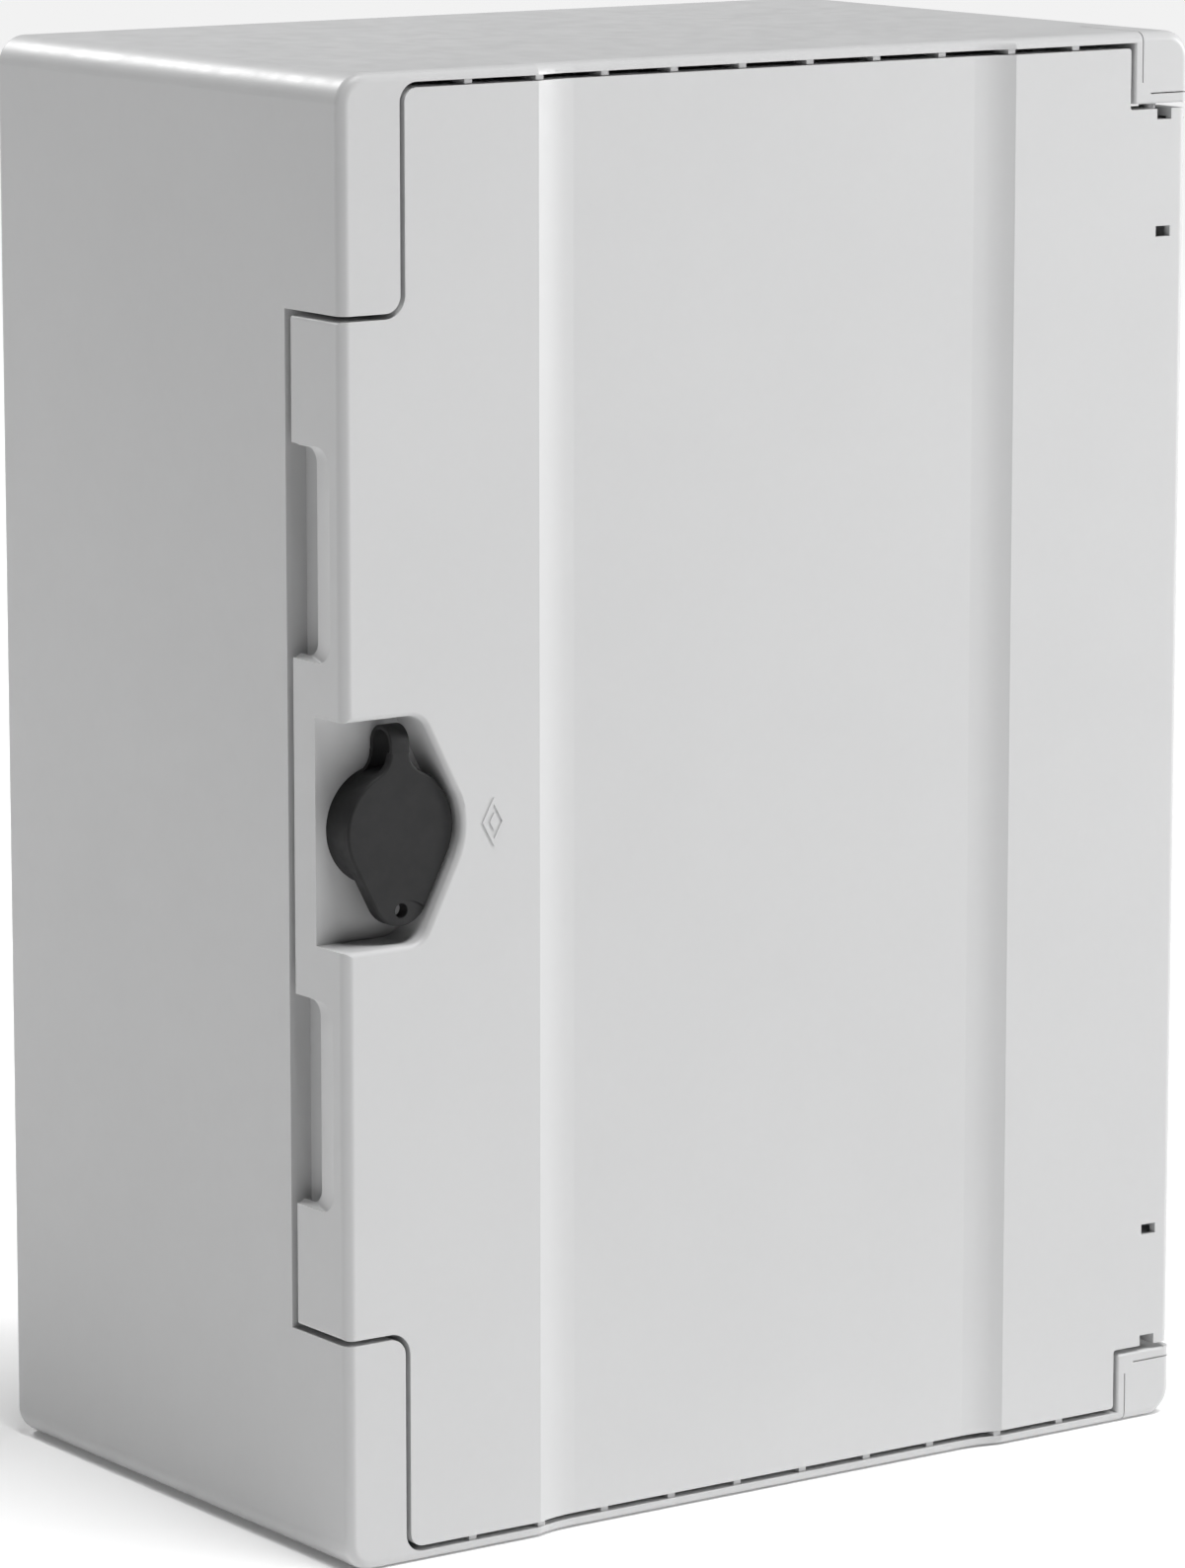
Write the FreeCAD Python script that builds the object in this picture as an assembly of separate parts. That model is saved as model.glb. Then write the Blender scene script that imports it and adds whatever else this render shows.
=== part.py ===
import FreeCAD, Part
import math
import os

# Wall cabinet moulded in plastic: a deep shell, a side-hinged door, and a quarter-turn
# lock under a rubber cover.  Millimetres.
# X runs from the lock side to the hinge side, Z is up, and Y is counted here from the
# front plane towards the wall.  export() puts the origin at the middle of the underside.

# Shell
WIDTH = 356.0
HEIGHT = 500.0
DEPTH = 218.0
WALL = 3.6
CORNER_R = 10.0            # corners seen from the front
EDGE_R = 3.4               # rounding of the front and back edges
LOCK_BLOCK_W = 23.2        # fixed corner blocks on the lock side
LOCK_BLOCK_H = 78.3
LOCK_BLOCK_R = 5.8
HINGE_BLOCK_W = 25.0       # fixed corner blocks on the hinge side
HINGE_BLOCK_H = 25.1
HINGE_BLOCK_R = 1.0
BLOCK_SKIN = 3.0
SIDE_FRONT = 33.7          # front edge of the side walls beside the door
CATCH_W = 10.5             # inward flange that the cam hooks behind
CATCH_T = 3.0
CATCH_LIP_FRONT = 26.0
CATCH_LIP_T = 2.5

# Sealing rim and gutter
RIM_T = 2.5
RIM_FRONT = 14.0
RIM_FROM_LOCK_SIDE = 53.0
RIM_FROM_HINGE_SIDE = 35.5
RIM_FROM_END = 17.0
GUTTER_Y = 50.0
GUTTER_T = 3.0

# Channel down the middle of the front
CHANNEL_W = 200.0
CHANNEL_DEPTH = 2.8
CHANNEL_SHOULDER = 16.0    # width of each curved shoulder

# Closing ribs in the slots above and below the door
RIB_COUNT = 10
RIB_PITCH = 28.25
RIB_W = 3.0
RIB_SETBACK = 1.2
RIB_LENGTH = 8.0

# Door
DOOR_GAP = 1.9
DOOR_SKIN = 3.0
DOOR_FLANGE = 30.0         # depth of the side flanges
DOOR_SHORT_FLANGE = 14.0   # depth of the top and bottom flanges
DOOR_INSET = 1.0           # door edge inside the shell's hinge side
DOOR_CORNER_R = 4.8
SMALL_R = 1.2
RUN_GAP = 0.3              # closest approach of pieces that pass each other
STIFFENER_T = 2.0
STIFFENER_BACK = 10.5
STIFFENERS_ACROSS = 4
STIFFENERS_DOWN = 2

# Finger grips in the door's lock-side flange
GRIP_H = 71.4
GRIP_CENTRE = 92.3         # above and below the middle
GRIP_FRONT = 7.5
GRIP_STEP = 1.0            # crisp edge round the grip
GRIP_RAMP = 12.0           # length of the slope that leads to the opening
GRIP_DRAFT = 1.2           # lean of the grip's two ends
GRIP_CORNER_R = 7.5
GRIP_INNER_R = 5.0

# Lock recess in the door
RECESS_HALF_H = 38.35
RECESS_VERTEX = 50.0       # where the two slanting sides would meet
RECESS_SLOPE = 26.87       # their angle from the vertical
RECESS_VERTEX_R = 26.0
RECESS_CORNER_R = 8.0
RECESS_DEPTH = 17.2
RECESS_EDGE_R = 1.8

# Door seal
SEAL_W = 6.0
SEAL_BACK = 13.7
SEAL_FLOOR = 7.5
SEAL_SIDE_GAP = 0.2
SEAL_LIP_T = 2.0
SEAL_LIP_BACK = 12.0

# Hinges
PIN_R = 3.0
PIN_FIT = 0.06
PIN_FROM_SIDE = 11.6
PIN_HEAD_LEDGE = 1.5
PIN_HEAD_T = 1.5
PIN_PROUD = 1.3            # pin below the knuckle
KNUCKLE_WALL = 3.2
KNUCKLE_H = 37.3
WINDOW_FIT = 0.2           # windows and notch wider than the pin, each side
WINDOW_H = 3.8
BOSS_WALL = 3.0
BOSS_GAP = 0.5             # boss behind the cover's front wall
BOSS_H = 9.6
EDGE_STEP = 1.8
COVER_W = 21.8
COVER_H = 21.7
COVER_L = 35.0
COVER_T = 3.0
COVER_SEAM = 0.45
COVER_NOSE = 4.0

# Fixing to the wall
WALL_HOLE_R = 4.0
WALL_HOLE_FROM_SIDE = 28.0
WALL_HOLE_FROM_END = 50.0
WALL_PAD_R = 10.0
WALL_PAD_T = 2.4

# Mounting plate
PLATE_SIDE_GAP = 2.5       # inside the rim's opening
PLATE_END_GAP = 15.5
PLATE_T = 2.0
PLATE_CORNER_R = 6.0
POST_FROM_EDGE = 15.0
POST_R = 7.0
POST_L = 16.4
INSERT_R = 3.4
INSERT_L = 10.0
SCREW_R = 2.4
SCREW_FIT = 0.05
SCREW_HEAD_R = 4.6
SCREW_HEAD_T = 2.8
SCREW_L = 12.0
SCREW_HOLE_R = 2.8
WASHER_R = 6.0
WASHER_T = 1.0
SLOT_ROWS = 7
SLOT_COLS = 5
SLOT_L = 24.0
SLOT_R = 2.6
SLOT_FROM_END = 59.0
SLOT_FROM_SIDE = 40.0

# Lock
LOCK_X = 24.3              # from the lock side of the door
HEAD_R = 15.0
HEAD_FRONT = 8.0
SEAT_T = 1.0               # flat seal under the head
BARREL_R = 11.0
BARREL_BACK = 36.0
LOCK_FIT = 0.1
NUT_FLATS = 27.0
NUT_T = 5.0
ROTOR_R = 8.0
ROTOR_FIT = 0.08
ROTOR_FRONT_R = 6.6
ROTOR_LIP = 1.2
KEY_WELL_R = 5.2
KEY_WELL_DEPTH = 9.0
KEY_POST_R = 2.0
KEY_BIT_T = 2.4
KEY_BIT_REACH = 4.0
TAIL_SQUARE = 8.0
CAM_T = 3.0
CAM_W = 15.0
CAM_REACH = 19.0
CAM_BEHIND = 0.5           # cam behind the catch flange
CAM_SCREW_R = 2.4
CAM_SCREW_HEAD_R = 4.4
CAM_SCREW_HEAD_T = 3.0
CAM_SCREW_L = 12.0

# Rubber lock cover
CAP_R = 20.8
CAP_FRONT = 2.9
CAP_T = 2.8
CAP_EDGE_R = 0.9
TIP_R = 11.0
TIP_DROP = 21.2
TIP_T = 4.9
SEAL_HOLE_R = 2.5
SEAL_HOLE_DROP = 26.9
NAIL_R = 10.7              # shallow sloping scoop beside the hole, for a fingernail
NAIL_X = 2.2
NAIL_DROP = 34.5
NAIL_START = 1.0
NAIL_SLOPE = 3.4
RING_R = 20.2
RING_BORE_GAP = 0.15
PLUG_R = 13.6
PLUG_T = 1.8
STRAP_W = 7.4
STRAP_T = 1.6
STRAP_LOOP_R = 6.5
STRAP_LOOP_RISE = 28.4
STRAP_JOIN_RISE = 26.0
SHOULDER_R = 8.0

# Places worked out from the sizes above
LEFT = -WIDTH / 2
RIGHT = WIDTH / 2
MID_Z = HEIGHT / 2
FAR = 2 * (WIDTH + HEIGHT + DEPTH)
DOOR_TOP = HEIGHT - WALL - DOOR_GAP
DOOR_RIGHT = RIGHT - DOOR_INSET
DOOR_WRAP_TOP = HEIGHT - LOCK_BLOCK_H - DOOR_GAP
DOOR_NOTCH_X = LEFT + LOCK_BLOCK_W + DOOR_GAP
HINGE_NOTCH_X = RIGHT - HINGE_BLOCK_W - DOOR_GAP
HINGE_NOTCH_Z = HEIGHT - HINGE_BLOCK_H - DOOR_GAP
PIN_X = RIGHT - PIN_FROM_SIDE
PIN_HEAD_R = PIN_R + PIN_HEAD_LEDGE
KNUCKLE_R = PIN_R + KNUCKLE_WALL
BOSS_R = PIN_R + BOSS_WALL
PIN_Y = COVER_T + BOSS_GAP + BOSS_R
WINDOW_W = 2 * (PIN_R + WINDOW_FIT)
KNUCKLE_TOP = HINGE_NOTCH_Z - WINDOW_H
KNUCKLE_BOTTOM = KNUCKLE_TOP - KNUCKLE_H
BOSS_TOP = HEIGHT - HINGE_BLOCK_H + BOSS_H
COVER_X = RIGHT - COVER_W
COVER_Z = HEIGHT - COVER_H
RIM_LEFT = LEFT + RIM_FROM_LOCK_SIDE
RIM_RIGHT = RIGHT - RIM_FROM_HINGE_SIDE
RIM_TOP = HEIGHT - RIM_FROM_END
CATCH_BACK = SIDE_FRONT + CATCH_T
WALL_HOLE_X = WIDTH - 2 * WALL_HOLE_FROM_SIDE
WALL_HOLE_Z = HEIGHT - 2 * WALL_HOLE_FROM_END
POST_FRONT = DEPTH - WALL - POST_L
PLATE_W = 2 * (-RIM_LEFT - RIM_T - PLATE_SIDE_GAP)
PLATE_H = 2 * (RIM_TOP - RIM_T - PLATE_END_GAP) - HEIGHT
POST_X = PLATE_W - 2 * POST_FROM_EDGE
POST_Z = PLATE_H - 2 * POST_FROM_EDGE
PLATE_FRONT = POST_FRONT - PLATE_T
LOCK_CX = LEFT + LOCK_X
CAP_BACK = CAP_FRONT + CAP_T
RING_FRONT = CAP_BACK + RUN_GAP
CAM_FRONT = CATCH_BACK + CAM_BEHIND
FLOOR_BACK = RECESS_DEPTH + DOOR_SKIN
STRAP_BACK_Y = CAP_FRONT + 2 * STRAP_LOOP_R


def vec(x, y, z):
    return FreeCAD.Vector(x, y, z)


def box(x0, x1, y0, y1, z0, z1):
    return Part.makeBox(x1 - x0, y1 - y0, z1 - z0, vec(x0, y0, z0))


def cyl_y(x, z, radius, y0, y1):
    return Part.makeCylinder(radius, y1 - y0, vec(x, y0, z), vec(0, 1, 0))


def cyl_z(x, y, radius, z0, z1):
    return Part.makeCylinder(radius, z1 - z0, vec(x, y, z0), vec(0, 0, 1))


def upside_down(shape):
    """The same piece reflected about the middle height."""
    return shape.mirror(vec(0, 0, MID_Z), vec(0, 0, 1))


def both_ends(shape):
    return [shape, upside_down(shape)]


def rounded_wire(corners, point):
    """Closed wire through (u, v, radius) corners; point(u, v) gives the place in space."""
    edges = []
    starts = []
    ends = []
    count = len(corners)
    for i, (u, v, radius) in enumerate(corners):
        here = FreeCAD.Vector(u, v, 0)
        before = FreeCAD.Vector(*corners[i - 1][:2], 0) - here
        after = FreeCAD.Vector(*corners[(i + 1) % count][:2], 0) - here
        before.normalize()
        after.normalize()
        half = before.getAngle(after) / 2
        run = radius / math.tan(half)
        middle = before + after
        middle.normalize()
        starts.append(here + before * run)
        ends.append(here + after * run)
        if radius > 0:
            crown = here + middle * (radius / math.sin(half) - radius)
            arc = [point(p.x, p.y) for p in (starts[-1], crown, ends[-1])]
            edges.append(Part.Arc(*arc).toShape())
    for i in range(count):
        a = point(ends[i - 1].x, ends[i - 1].y)
        b = point(starts[i].x, starts[i].y)
        if (b - a).Length > 1e-6:
            edges.append(Part.makeLine(a, b))
    return Part.Wire(Part.__sortEdges__(edges))


def prism_y(corners, y0, y1):
    """Solid of an outline in X and Z between two depths."""
    face = Part.Face(rounded_wire(corners, lambda u, v: vec(u, y0, v)))
    return face.extrude(vec(0, y1 - y0, 0))


def prism_z(corners, z0, z1):
    """Solid of an outline in X and Y between two heights."""
    face = Part.Face(rounded_wire(corners, lambda u, v: vec(u, v, z0)))
    return face.extrude(vec(0, 0, z1 - z0))


def prism_x(corners, x0, x1):
    """Solid of an outline in Y and Z between two places across."""
    face = Part.Face(rounded_wire(corners, lambda u, v: vec(x0, u, v)))
    return face.extrude(vec(x1 - x0, 0, 0))


def rectangle(x0, x1, z0, z1, radius):
    return [(x0, z0, radius), (x1, z0, radius), (x1, z1, radius), (x0, z1, radius)]


def frame_y(outer, inner, y0, y1):
    """Rectangular ring between two rectangles given as (x0, x1, z0, z1)."""
    return box(outer[0], outer[1], y0, y1, outer[2], outer[3]).cut(
        box(inner[0], inner[1], y0 - 1, y1 + 1, inner[2], inner[3]))


def round_edges(shape, radius, wanted):
    edges = [e for e in shape.Edges if wanted(e)]
    return shape.makeFillet(radius, edges)


def channel_space(shift):
    """Space in front of the channelled face, moved back by shift."""
    half = CHANNEL_W / 2
    flat = half - CHANNEL_SHOULDER
    radius = (CHANNEL_SHOULDER ** 2 + CHANNEL_DEPTH ** 2) / (2 * CHANNEL_DEPTH)
    turn = math.asin(CHANNEL_SHOULDER / radius) / 2
    mid_x = flat + radius * math.sin(turn)
    mid_y = CHANNEL_DEPTH - radius * (1 - math.cos(turn)) + shift
    deep = CHANNEL_DEPTH + shift
    low = -1.0

    def at(x, y):
        return vec(x, y, low)

    edges = [
        Part.makeLine(at(-half, -FAR), at(-half, shift)),
        Part.Arc(at(-half, shift), at(-mid_x, mid_y), at(-flat, deep)).toShape(),
        Part.makeLine(at(-flat, deep), at(flat, deep)),
        Part.Arc(at(flat, deep), at(mid_x, mid_y), at(half, shift)).toShape(),
        Part.makeLine(at(half, shift), at(half, -FAR)),
        Part.makeLine(at(half, -FAR), at(-half, -FAR)),
    ]
    return Part.Face(Part.Wire(edges)).extrude(vec(0, 0, HEIGHT + 2))


def shell_envelope():
    """Outside of the cabinet, with its channel and rounded edges."""
    block = prism_y(rectangle(LEFT, RIGHT, 0, HEIGHT, CORNER_R), 0, DEPTH)

    def back_edge(edge):
        return edge.BoundBox.YMin > DEPTH - 0.01

    def front_edge(edge):
        return edge.BoundBox.YMax < CHANNEL_DEPTH + 0.01 and on_outline(edge.BoundBox)

    def on_outline(bounds):
        spans = (abs(bounds.ZMin) < 0.01 and abs(bounds.ZMax) < 0.01,
                 bounds.ZMin > HEIGHT - 0.01, bounds.XMax < LEFT + 0.01,
                 bounds.XMin > RIGHT - 0.01, abs(bounds.XMin) > RIGHT - CORNER_R - 0.01)
        return any(spans)

    block = round_edges(block, EDGE_R, back_edge)
    return round_edges(block.cut(channel_space(0)), EDGE_R, front_edge)


def door_outline(inset):
    """Corners of the door seen from the front; inset moves every side inwards."""
    outer_r = max(DOOR_CORNER_R - inset, 0.5)
    inner_r = LOCK_BLOCK_R + DOOR_GAP + inset
    small_r = max(SMALL_R - inset, 0.4)
    corner_r = HINGE_BLOCK_R + inset
    left = LEFT + inset
    notch = DOOR_NOTCH_X + inset
    hinge = HINGE_NOTCH_X - inset
    right = DOOR_RIGHT - inset
    upper = [
        (right, HINGE_NOTCH_Z - inset, small_r),
        (hinge, HINGE_NOTCH_Z - inset, corner_r),
        (hinge, DOOR_TOP - inset, small_r),
        (notch, DOOR_TOP - inset, outer_r),
        (notch, DOOR_WRAP_TOP - inset, inner_r),
        (left, DOOR_WRAP_TOP - inset, small_r),
    ]
    lower = [(x, HEIGHT - z, r) for x, z, r in reversed(upper)]
    return upper + lower


def recess_outline(grow):
    """Corners of the lock recess, open past the lock side; grow moves the sides outwards."""
    slope = math.radians(RECESS_SLOPE)
    half_h = RECESS_HALF_H + grow
    vertex = LEFT + RECESS_VERTEX + grow / math.cos(slope)
    top_x = vertex - half_h * math.tan(slope)
    outside = LEFT - 2 * WALL
    return [
        (outside, MID_Z - half_h, 0),
        (top_x, MID_Z - half_h, RECESS_CORNER_R + grow),
        (vertex, MID_Z, RECESS_VERTEX_R + grow),
        (top_x, MID_Z + half_h, RECESS_CORNER_R + grow),
        (outside, MID_Z + half_h, 0),
    ]


def rim_rectangle(grow):
    """Outer face of the sealing rim, moved outwards by grow."""
    return (RIM_LEFT - grow, RIM_RIGHT + grow, HEIGHT - RIM_TOP - grow, RIM_TOP + grow)


def lock_block():
    """Hollow fixed corner block on the lock side, at the top."""
    x1 = LEFT + LOCK_BLOCK_W
    z0 = HEIGHT - LOCK_BLOCK_H
    top = HEIGHT + WALL
    side = LEFT - WALL
    corners = [(side, z0, 0), (x1, z0, LOCK_BLOCK_R), (x1, top, 0), (side, top, 0)]
    skin = BLOCK_SKIN
    inner_r = LOCK_BLOCK_R - skin
    inner = [(side, z0 + skin, 0), (x1 - skin, z0 + skin, inner_r), (x1 - skin, top, 0),
             (side, top, 0)]
    block = prism_y(corners, 0, GUTTER_Y + 1).cut(prism_y(inner, skin, FAR))
    rounded = fillet_corner(x1, HEIGHT - WALL, GUTTER_Y + 1)
    return block.fuse(rounded)


def fillet_corner(x, z, depth):
    """Curved web that rounds the inside corner between a lock block and the end lip."""
    r = DOOR_CORNER_R + DOOR_GAP
    web = box(x - 1, x + r, 0, DOOR_SHORT_FLANGE, z - r, z + 1)
    return web.cut(cyl_y(x + r, z - r, r, -1, depth)).cut(
        box(x + r - 0.001, x + r + 1, -1, depth, z - r - 1, z + 2))


def hinge_block():
    """Fixed corner frame on the hinge side, at the top, with the boss for the pin."""
    x0 = RIGHT - HINGE_BLOCK_W
    z0 = HEIGHT - HINGE_BLOCK_H
    side = RIGHT + WALL
    top = HEIGHT + WALL
    outer = [(x0, z0, HINGE_BLOCK_R), (side, z0, 0), (side, top, 0), (x0, top, 0)]
    frame = prism_y(outer, 0, GUTTER_Y + 1)
    frame = frame.cut(box(COVER_X, side + 1, -1, FAR, COVER_Z, top + 1))
    front = [e for e in frame.Edges if e.BoundBox.YMax < 0.01 and e.BoundBox.XMax < x0 + 0.01]
    frame = frame.makeFillet(HINGE_BLOCK_R * 0.9, front)
    boss = cyl_z(PIN_X, PIN_Y, BOSS_R, z0 + 0.5, BOSS_TOP)
    return frame.fuse(boss)


def cover_space():
    """Corner of the shell that the hinge cover takes the place of."""
    return box(COVER_X, RIGHT + 1, -1, COVER_L, COVER_Z, HEIGHT + 1)


def gutter():
    """Floor of the gutter round the sealing rim, and the rim itself."""
    inside = rim_rectangle(-RIM_T)
    floor = frame_y((LEFT + 1, RIGHT - 1, 1, HEIGHT - 1), inside, GUTTER_Y, GUTTER_Y + GUTTER_T)
    rim = frame_y(rim_rectangle(0), inside, RIM_FRONT, GUTTER_Y + 1)
    return [floor, rim]


def catch():
    """Flange with a drip lip behind the door's lock side."""
    z0 = LOCK_BLOCK_H - 1
    z1 = HEIGHT - LOCK_BLOCK_H + 1
    flange = box(LEFT, LEFT + CATCH_W, SIDE_FRONT, CATCH_BACK, z0, z1)
    lip_top = DOOR_WRAP_TOP - DOOR_SKIN - DOOR_GAP
    lip = box(LEFT + CATCH_W - CATCH_LIP_T, LEFT + CATCH_W, CATCH_LIP_FRONT, CATCH_BACK,
              HEIGHT - lip_top, lip_top)
    return [flange, lip]


def closing_ribs():
    """Short ribs that fill the slot between the top lip and the door."""
    ribs = []
    for i in range(RIB_COUNT):
        x = (i - (RIB_COUNT - 1) / 2) * RIB_PITCH
        front = RIB_SETBACK
        if abs(x) < CHANNEL_W / 2 - CHANNEL_SHOULDER / 2:
            front = RIB_SETBACK + CHANNEL_DEPTH
        ribs.append(box(x - RIB_W / 2, x + RIB_W / 2, front, front + RIB_LENGTH,
                        DOOR_TOP + RUN_GAP, HEIGHT - WALL + 0.5))
    return ribs


def wall_holes(radius, y0, y1):
    return [cyl_y(sx * WALL_HOLE_X / 2, MID_Z + sz * WALL_HOLE_Z / 2, radius, y0, y1)
            for sx in (-1, 1) for sz in (-1, 1)]


def plate_points():
    return [(sx * POST_X / 2, MID_Z + sz * POST_Z / 2) for sx in (-1, 1) for sz in (-1, 1)]


def shell():
    """The deep moulding that hangs on the wall."""
    envelope = shell_envelope()
    inside = rectangle(LEFT + WALL, RIGHT - WALL, WALL, HEIGHT - WALL, CORNER_R - WALL)
    tub = envelope.cut(prism_y(inside, -1, DEPTH - WALL))
    lock_z = LOCK_BLOCK_H
    hinge_z = HINGE_BLOCK_H
    tub = tub.cut(box(LEFT - 1, LEFT + CORNER_R, -1, SIDE_FRONT, lock_z, HEIGHT - lock_z))
    tub = tub.cut(box(RIGHT - CORNER_R, RIGHT + 1, -1, SIDE_FRONT, hinge_z, HEIGHT - hinge_z))
    tub = tub.cut(cover_space()).cut(upside_down(cover_space()))
    extras = both_ends(lock_block()) + both_ends(hinge_block()) + gutter() + catch()
    for rib in closing_ribs():
        extras += both_ends(rib)
    body = tub.fuse([e.common(envelope) for e in extras])
    posts = [cyl_y(x, z, POST_R, POST_FRONT, DEPTH - WALL + 1) for x, z in plate_points()]
    pads = wall_holes(WALL_PAD_R, DEPTH - WALL - WALL_PAD_T, DEPTH - WALL + 1)
    body = body.fuse(posts + pads)
    for hole in wall_holes(WALL_HOLE_R, 0, FAR):
        body = body.cut(hole)
    for x, z in plate_points():
        body = body.cut(cyl_y(x, z, INSERT_R, POST_FRONT - 1, POST_FRONT + INSERT_L))
        body = body.cut(cyl_y(x, z, SCREW_R + 0.3, POST_FRONT, POST_FRONT + SCREW_L + 1))
    for z0, z1 in ((BOSS_TOP - BOSS_H - 1, BOSS_TOP + 1),
                   (HEIGHT - BOSS_TOP - 1, HEIGHT - BOSS_TOP + BOSS_H + 1)):
        body = body.cut(cyl_z(PIN_X, PIN_Y, PIN_R + PIN_FIT, z0, z1))
    return body.removeSplitter()


def door_envelope():
    """Outside of the door with its channel and rounded side edges."""
    slab = box(LEFT, DOOR_RIGHT, 0, DOOR_FLANGE, 0, HEIGHT)

    def side_edge(edge):
        b = edge.BoundBox
        return b.YMax < 0.01 and b.ZLength > HEIGHT / 2

    slab = round_edges(slab, EDGE_R, side_edge).common(
        prism_y(door_outline(0), 0, DOOR_FLANGE))
    return slab.cut(channel_space(0))


def door_flange_trims():
    """Spaces that shorten the flanges at the top, and leave the hinge corner room to turn."""
    inner_x = DOOR_RIGHT - 3 * DOOR_SKIN
    above = HINGE_NOTCH_Z - DOOR_SKIN - 0.5
    back = DOOR_SHORT_FLANGE
    return [
        box(DOOR_NOTCH_X - 0.5, inner_x, back, FAR, DOOR_WRAP_TOP + 0.5, HEIGHT),
        box(inner_x - 1, RIGHT, back, FAR, above, HEIGHT),
        box(HINGE_NOTCH_X - DOOR_SKIN - 0.2, RIGHT, DOOR_SKIN, FAR, HINGE_NOTCH_Z + 0.01, HEIGHT),
    ]


def seal_ring(grow, y0, y1):
    """Ring of the door seal's width over the rim, widened on each side by grow."""
    half = SEAL_W / 2 + grow
    return frame_y(rim_rectangle(half - RIM_T / 2), rim_rectangle(-half - RIM_T / 2), y0, y1)


def stiffeners():
    """Low ribs across the inside of the door, inside the seal."""
    x0, x1, z0, z1 = rim_rectangle(-RIM_T / 2)
    ribs = []
    front = CHANNEL_DEPTH + 0.1
    for i in range(1, STIFFENERS_ACROSS + 1):
        z = z0 + (z1 - z0) * i / (STIFFENERS_ACROSS + 1)
        ribs.append(box(x0 + SEAL_W / 2 + 1, x1 - SEAL_W / 2 - 1, front, STIFFENER_BACK,
                        z - STIFFENER_T / 2, z + STIFFENER_T / 2))
    for i in range(1, STIFFENERS_DOWN + 1):
        x = x0 + (x1 - x0) * i / (STIFFENERS_DOWN + 1)
        ribs.append(box(x - STIFFENER_T / 2, x + STIFFENER_T / 2, front, STIFFENER_BACK,
                        z0 + SEAL_W / 2 + 1, z1 - SEAL_W / 2 - 1))
    return ribs


def knuckle():
    """Upper hinge knuckle on the door, tied to the skin and the side flange."""
    barrel = cyl_z(PIN_X, PIN_Y, KNUCKLE_R, KNUCKLE_BOTTOM, KNUCKLE_TOP)
    web_x = box(PIN_X - STIFFENER_T, PIN_X + STIFFENER_T, DOOR_SKIN - 1, PIN_Y - PIN_R - 1,
                KNUCKLE_BOTTOM, KNUCKLE_TOP)
    web_y = box(PIN_X + PIN_R + 1, DOOR_RIGHT - 1, PIN_Y - STIFFENER_T, PIN_Y + STIFFENER_T,
                KNUCKLE_BOTTOM, KNUCKLE_TOP)
    return barrel.fuse([web_x, web_y])


def hinge_cuts():
    """Pin bore, windows at the ends of the knuckle, and the stepped edge beside it."""
    half = WINDOW_W / 2
    window = box(PIN_X - half, PIN_X + half, -1, DOOR_SKIN + 0.5, KNUCKLE_BOTTOM - WINDOW_H,
                 KNUCKLE_BOTTOM)
    notch = box(PIN_X - half, PIN_X + half, -1, PIN_Y, KNUCKLE_TOP, HINGE_NOTCH_Z + 1)
    end = cyl_z(PIN_X, PIN_Y, half, KNUCKLE_TOP, HINGE_NOTCH_Z + 1)
    step = box(DOOR_RIGHT - EDGE_STEP, RIGHT, -1, DOOR_FLANGE + 1, KNUCKLE_TOP + 0.3,
               HINGE_NOTCH_Z + 1)
    bore = cyl_z(PIN_X, PIN_Y, PIN_R + PIN_FIT, KNUCKLE_BOTTOM - 1, KNUCKLE_TOP + 1)
    return [window, notch, end, step, bore]


def grip_space(side):
    """Finger grip: a rounded pocket in the flange whose floor slopes to an opening through it."""
    z = MID_Z + side * GRIP_CENTRE
    back = DOOR_FLANGE + 1
    ledge = LEFT + GRIP_STEP
    inside = LEFT + DOOR_SKIN

    def outline(front, half, radius):
        return [(front, z - half, radius), (back, z - half, 0), (back, z + half, 0),
                (front, z + half, radius)]

    outer = outline(GRIP_FRONT, GRIP_H / 2, GRIP_CORNER_R)
    inner = outline(GRIP_FRONT + GRIP_RAMP, GRIP_H / 2 - GRIP_DRAFT, GRIP_INNER_R)
    slope = Part.makeLoft([rounded_wire(outer, lambda u, v: vec(ledge, u, v)),
                           rounded_wire(inner, lambda u, v: vec(inside, u, v))], True, True)
    mouth = prism_x(outer, LEFT - WALL, ledge)
    return mouth.fuse([slope, prism_x(inner, inside, inside + 1)]).removeSplitter()


def recess_space():
    """Lock recess with a flared mouth, so the door's face rolls into it."""
    pocket = prism_y(recess_outline(0), -3, RECESS_DEPTH)
    front = box(LEFT - 2 * WALL, LEFT + 2 * RECESS_VERTEX, -6, 0, MID_Z - 2 * RECESS_HALF_H,
                MID_Z + 2 * RECESS_HALF_H)
    tool = pocket.fuse(front).removeSplitter()

    def mouth(edge):
        b = edge.BoundBox
        return abs(b.YMin) < 0.01 and abs(b.YMax) < 0.01 and (
            b.ZMax < MID_Z + RECESS_HALF_H + 1 and b.ZMin > MID_Z - RECESS_HALF_H - 1)

    return round_edges(tool, RECESS_EDGE_R, mouth)


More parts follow.
